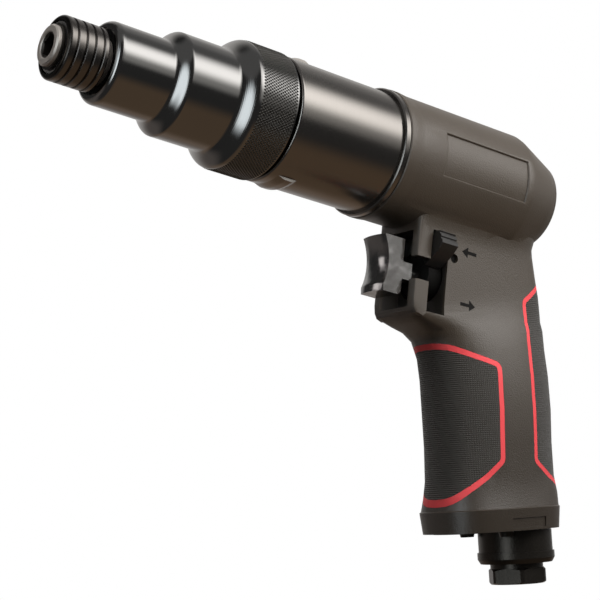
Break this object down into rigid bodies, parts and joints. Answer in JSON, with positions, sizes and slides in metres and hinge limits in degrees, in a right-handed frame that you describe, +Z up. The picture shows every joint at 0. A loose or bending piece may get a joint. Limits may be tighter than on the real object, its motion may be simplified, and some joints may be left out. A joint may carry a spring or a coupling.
{
  "type": "pneumatic screwdriver",
  "caption": "Pistol-grip air screwdriver with a stepped metal clutch housing, quick-change hex chuck, trigger, reversing lever, rubber grip inserts with red outlines and a hex air inlet.",
  "frame": {"origin": "mouth of the hex bit socket, on the spindle axis", "axes": "+X along the spindle toward the bit, +Y to the tool's left side, +Z up toward the top of the barrel, with the handle below"},
  "size_m": [0.2066, 0.0428, 0.1509],
  "materials": {
    "composite": "moulded composite, fine texture",
    "rubber_grip": "ribbed rubber",
    "red_trim": "red moulded outline",
    "bright_steel": "polished steel",
    "dark_steel": "polished blue-black steel",
    "black_metal": "black finish",
    "black_plastic": "glossy black",
    "tool_steel": "ground steel",
    "iron": "machined iron",
    "bronze": "sintered bronze",
    "seal_rubber": "seal",
    "vane": "laminated vane",
    "felt": "muffler felt",
    "light_metal": "cast aluminium"
  },
  "bodies": {
    "housing": {"motor_housing": "composite", "front_grip": "rubber_grip", "front_trim": "red_trim", "rear_grip": "rubber_grip", "rear_trim": "red_trim", "gear_case": "dark_steel", "case_gasket": "seal_rubber", "clutch_housing": "dark_steel", "nose_bush": "iron", "ring_gear": "tool_steel", "gear_spacer": "tool_steel", "carrier_bearing": "bright_steel", "front_end_plate": "iron", "rear_end_plate": "iron", "front_bearing": "bright_steel", "rear_bearing": "bright_steel", "motor_cylinder": "iron", "valve_bush": "bronze", "valve_seat": "bronze", "valve_spring": "bright_steel", "bush_pin": "black_metal", "base_plate": "black_metal", "base_screws": "tool_steel", "muffler": "felt", "inlet_bushing": "black_metal", "inlet_screen": "bronze"},
    "trigger": {"trigger": "black_plastic", "trigger_rod": "bright_steel", "trigger_pin": "bright_steel", "rod_seal": "seal_rubber", "throttle_valve": "vane"},
    "reverser": {"reverse_valve": "black_metal", "reverse_lever": "black_plastic"},
    "drive_line": {"spindle": "bright_steel", "driven_jaw": "tool_steel", "clutch_balls": "bright_steel", "driving_jaw": "tool_steel", "clutch_spring": "tool_steel", "adjusting_nut": "tool_steel", "planet_carrier": "tool_steel", "planet_pins": "bright_steel", "bit_ball": "bright_steel", "sleeve_spring": "bright_steel", "spring_stop": "tool_steel", "retaining_ring": "black_metal"},
    "rotor": {"rotor": "tool_steel", "rotor_vanes": "vane"},
    "planet_1": {"planet_gear_1": "tool_steel"},
    "planet_2": {"planet_gear_2": "tool_steel"},
    "planet_3": {"planet_gear_3": "tool_steel"},
    "chuck_sleeve": {"chuck_sleeve": "black_metal"},
    "deflector": {"exhaust_deflector": "black_metal"}
  },
  "joints": [
    {"name": "trigger_slide", "type": "slide", "parent": "housing", "child": "trigger", "axis": [-1, 0, 0], "range_m": [0, 0.005], "stiffness_N_per_m": 1800, "springref_m": -0.004, "deforming": ["valve_spring"]},
    {"name": "reverse_turn", "type": "hinge", "parent": "housing", "child": "reverser", "pos_m": [-0.143, 0, -0.0355], "axis": [-1, 0, 0], "range_deg": [0, 68]},
    {"name": "spindle_spin", "type": "hinge", "parent": "housing", "child": "drive_line", "pos_m": [0, 0, 0], "axis": [1, 0, 0], "continuous": true},
    {"name": "sleeve_slide", "type": "slide", "parent": "drive_line", "child": "chuck_sleeve", "axis": [1, 0, 0], "range_m": [0, 0.0026], "stiffness_N_per_m": 700, "springref_m": -0.003, "deforming": ["sleeve_spring"]},
    {"name": "rotor_spin", "type": "hinge", "parent": "housing", "child": "rotor", "pos_m": [-0.14, 0, 0], "axis": [1, 0, 0], "continuous": true},
    {"name": "planet_spin_1", "type": "hinge", "parent": "drive_line", "child": "planet_1", "pos_m": [-0.0937, 0, 0.00945], "axis": [1, 0, 0], "continuous": true},
    {"name": "planet_spin_2", "type": "hinge", "parent": "drive_line", "child": "planet_2", "pos_m": [-0.0937, 0.00818, -0.00473], "axis": [1, 0, 0], "continuous": true},
    {"name": "planet_spin_3", "type": "hinge", "parent": "drive_line", "child": "planet_3", "pos_m": [-0.0937, -0.00818, -0.00473], "axis": [1, 0, 0], "continuous": true},
    {"name": "deflector_turn", "type": "hinge", "parent": "housing", "child": "deflector", "pos_m": [-0.1939, 0, -0.11835], "axis": [-0.1908, 0, -0.9816], "continuous": true}
  ],
  "couplings": [
    {"joint": "rotor_spin", "follows": "spindle_spin", "ratio": 6},
    {"joint": "planet_spin_1", "follows": "spindle_spin", "ratio": -2.5},
    {"joint": "planet_spin_2", "follows": "spindle_spin", "ratio": -2.5},
    {"joint": "planet_spin_3", "follows": "spindle_spin", "ratio": -2.5}
  ]
}
